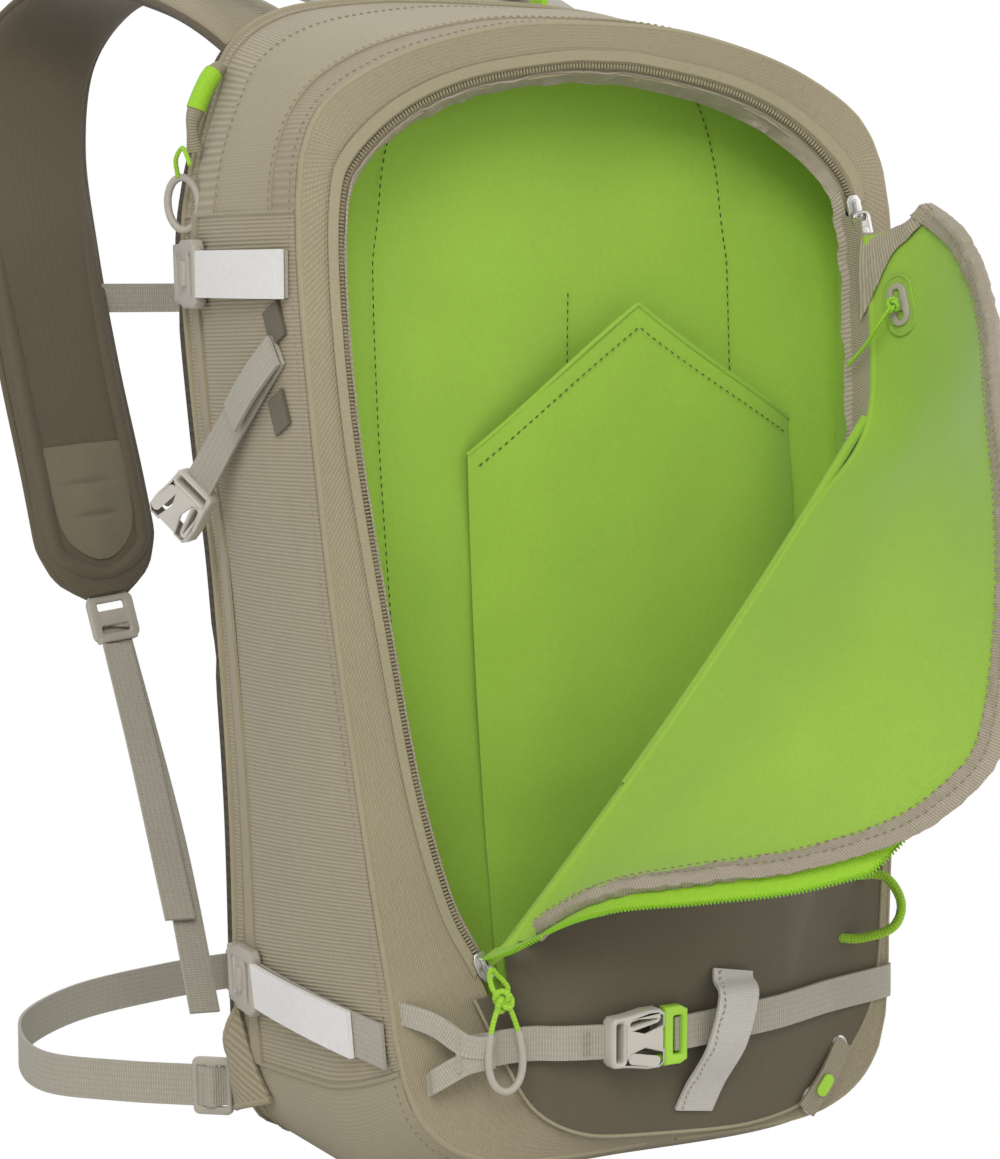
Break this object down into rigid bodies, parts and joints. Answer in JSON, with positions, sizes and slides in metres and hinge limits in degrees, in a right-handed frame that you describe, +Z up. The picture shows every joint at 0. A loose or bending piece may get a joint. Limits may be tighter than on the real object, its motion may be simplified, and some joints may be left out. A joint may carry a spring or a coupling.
{
  "type": "ski backpack",
  "caption": "Ski backpack in tan fabric with an unzipped lime-lined front pocket, ski straps, padded harness and hip belt.",
  "frame": {"origin": "on the flat underside of the base, on the pack's middle plane", "axes": "+Z up, -Y out of the front pocket, +Y towards the wearer, +X to the right seen from the front"},
  "size_m": [0.3816, 0.617, 0.5682],
  "materials": {
    "tan_fabric": "matte ribbed nylon",
    "dark_fabric": "matte coated nylon",
    "lime_lining": "soft satin lining",
    "lime_trim": "woven tape and cord",
    "webbing": "woven webbing",
    "coated_webbing": "smooth coated webbing",
    "grey_plastic": "moulded, fine texture",
    "pale_plastic": "moulded, smooth",
    "lime_plastic": "moulded, smooth",
    "slider_metal": "cast and plated",
    "back_mesh": "open spacer mesh over foam",
    "harness_fabric": "matte woven over foam",
    "sheet_plastic": "plain sheet"
  },
  "bodies": {
    "pack": {"left_side_panel": "tan_fabric", "right_side_panel": "tan_fabric", "top_panel": "tan_fabric", "base_panel": "tan_fabric", "front_rim": "tan_fabric", "pocket_divider": "lime_lining", "tool_sleeve": "lime_lining", "front_panel": "dark_fabric", "flap_fold": "lime_lining", "zip_chain_body": "lime_trim", "front_strap_left": "webbing", "front_buckle_male": "lime_plastic", "front_strap_right": "webbing", "keeper_loop": "webbing", "axe_loop": "lime_trim", "ski_strap_upper_left": "coated_webbing", "ski_strap_upper_right": "coated_webbing", "ski_strap_lower_left": "coated_webbing", "ski_strap_lower_right": "coated_webbing", "side_loop": "lime_trim", "back_panel": "back_mesh", "frame_sheet": "sheet_plastic", "shoulder_web_left": "webbing", "shoulder_web_right": "webbing", "load_lifter_left": "webbing", "load_lifter_right": "webbing", "hip_wing_left": "tan_fabric", "hip_wing_right": "tan_fabric"},
    "flap": {"front_flap": "lime_lining", "zip_chain_flap": "lime_trim", "flap_grommet": "grey_plastic"},
    "slider_left": {"zip_slider_left": "slider_metal"},
    "pull_left": {"zip_pull_left": "grey_plastic"},
    "slider_right": {"zip_slider_right": "slider_metal"},
    "pull_right": {"zip_pull_right": "grey_plastic"},
    "main_pull": {"main_zip_pull": "grey_plastic"},
    "front_socket": {"front_buckle_female": "pale_plastic"},
    "ski_hook_upper_left": {"ski_buckle_upper_left": "grey_plastic"},
    "ski_hook_upper_right": {"ski_buckle_upper_right": "grey_plastic"},
    "ski_hook_lower_left": {"ski_buckle_lower_left": "grey_plastic"},
    "ski_hook_lower_right": {"ski_buckle_lower_right": "grey_plastic"},
    "compression_left": {"compression_strap_left": "webbing", "compression_buckle_left": "pale_plastic"},
    "compression_right": {"compression_strap_right": "webbing", "compression_buckle_right": "lime_plastic"},
    "haul": {"haul_loop": "lime_trim"},
    "harness": {"shoulder_pad_left": "harness_fabric", "shoulder_pad_right": "harness_fabric", "ladder_lock_left": "grey_plastic", "ladder_lock_right": "grey_plastic", "lifter_lock_left": "grey_plastic", "lifter_lock_right": "grey_plastic"},
    "sternum": {"sternum_strap_left": "webbing", "sternum_strap_right": "webbing", "sternum_buckle": "grey_plastic"},
    "hip": {"hip_belt_left": "webbing", "hip_belt_right": "webbing", "hip_buckle": "grey_plastic", "tri_glide_left": "grey_plastic", "tri_glide_right": "grey_plastic"}
  },
  "joints": [
    {"name": "flap_hinge", "type": "hinge", "parent": "pack", "child": "flap", "pos_m": [-0.08749, -0.08721, 0.11215], "axis": [-0.5551, -0.1051, -0.8251], "range_deg": [0, 70], "deforming": ["flap_fold"]},
    {"name": "slider_left_rail", "type": "slide", "parent": "pack", "child": "slider_left", "axis": [-0.3906, 0.1277, 0.9117], "range_m": [0, 0.012]},
    {"name": "pull_left_pivot", "type": "hinge", "parent": "slider_left", "child": "pull_left", "pos_m": [-0.08706, -0.09441, 0.11115], "axis": [-0.9192, 0, -0.3938], "range_deg": [0, 50]},
    {"name": "slider_right_rail", "type": "slide", "parent": "pack", "child": "slider_right", "axis": [-0.1696, 0.1044, 0.98], "range_m": [0, 0.015]},
    {"name": "pull_right_pivot", "type": "hinge", "parent": "slider_right", "child": "pull_right", "pos_m": [0.1317, -0.05292, 0.43642], "axis": [-0.9854, 0, -0.1705], "range_deg": [0, 60]},
    {"name": "main_pull_pivot", "type": "hinge", "parent": "pack", "child": "main_pull", "pos_m": [-0.15016, 0.07915, 0.45347], "axis": [0, 1, 0], "range_deg": [0, 60]},
    {"name": "front_socket_slide", "type": "slide", "parent": "pack", "child": "front_socket", "axis": [-1, 0, 0], "range_m": [0, 0.02], "deforming": ["front_strap_left"]},
    {"name": "ski_hook_upper_left_hinge", "type": "hinge", "parent": "pack", "child": "ski_hook_upper_left", "pos_m": [-0.15291, 0.05029, 0.40793], "axis": [-0.0276, 0, 0.9996], "range_deg": [0, 30]},
    {"name": "ski_hook_upper_right_hinge", "type": "hinge", "parent": "pack", "child": "ski_hook_upper_right", "pos_m": [0.15291, 0.05029, 0.40793], "axis": [-0.0276, 0, -0.9996], "range_deg": [0, 30]},
    {"name": "ski_hook_lower_left_hinge", "type": "hinge", "parent": "pack", "child": "ski_hook_lower_left", "pos_m": [-0.1279, 0.05022, 0.07989], "axis": [-0.0424, 0, 0.9991], "range_deg": [0, 30]},
    {"name": "ski_hook_lower_right_hinge", "type": "hinge", "parent": "pack", "child": "ski_hook_lower_right", "pos_m": [0.1279, 0.05022, 0.07989], "axis": [-0.0424, 0, -0.9991], "range_deg": [0, 30]},
    {"name": "compression_left_hinge", "type": "hinge", "parent": "pack", "child": "compression_left", "pos_m": [-0.15302, -0.03001, 0.37595], "axis": [0, 0.6, 0.8], "range_deg": [0, 60]},
    {"name": "compression_right_hinge", "type": "hinge", "parent": "pack", "child": "compression_right", "pos_m": [0.15302, -0.03001, 0.37595], "axis": [0, -0.6, -0.8], "range_deg": [0, 60]},
    {"name": "haul_hinge", "type": "hinge", "parent": "pack", "child": "haul", "pos_m": [0, 0.0965, 0.5363], "axis": [1, 0, 0], "range_deg": [-45, 15]},
    {"name": "harness_hinge", "type": "hinge", "parent": "pack", "child": "harness", "pos_m": [0, 0.1112, 0.474], "axis": [1, 0, 0], "range_deg": [0, 12], "deforming": ["shoulder_web_left", "shoulder_web_right", "load_lifter_left", "load_lifter_right"]},
    {"name": "sternum_slide", "type": "slide", "parent": "harness", "child": "sternum", "axis": [0, -0.385, -0.9229], "range_m": [-0.02, 0.016]},
    {"name": "hip_hinge", "type": "hinge", "parent": "pack", "child": "hip", "pos_m": [0, 0.09389, 0.02064], "axis": [1, 0, 0], "range_deg": [0, 40], "deforming": ["hip_wing_left", "hip_wing_right"]}
  ]
}
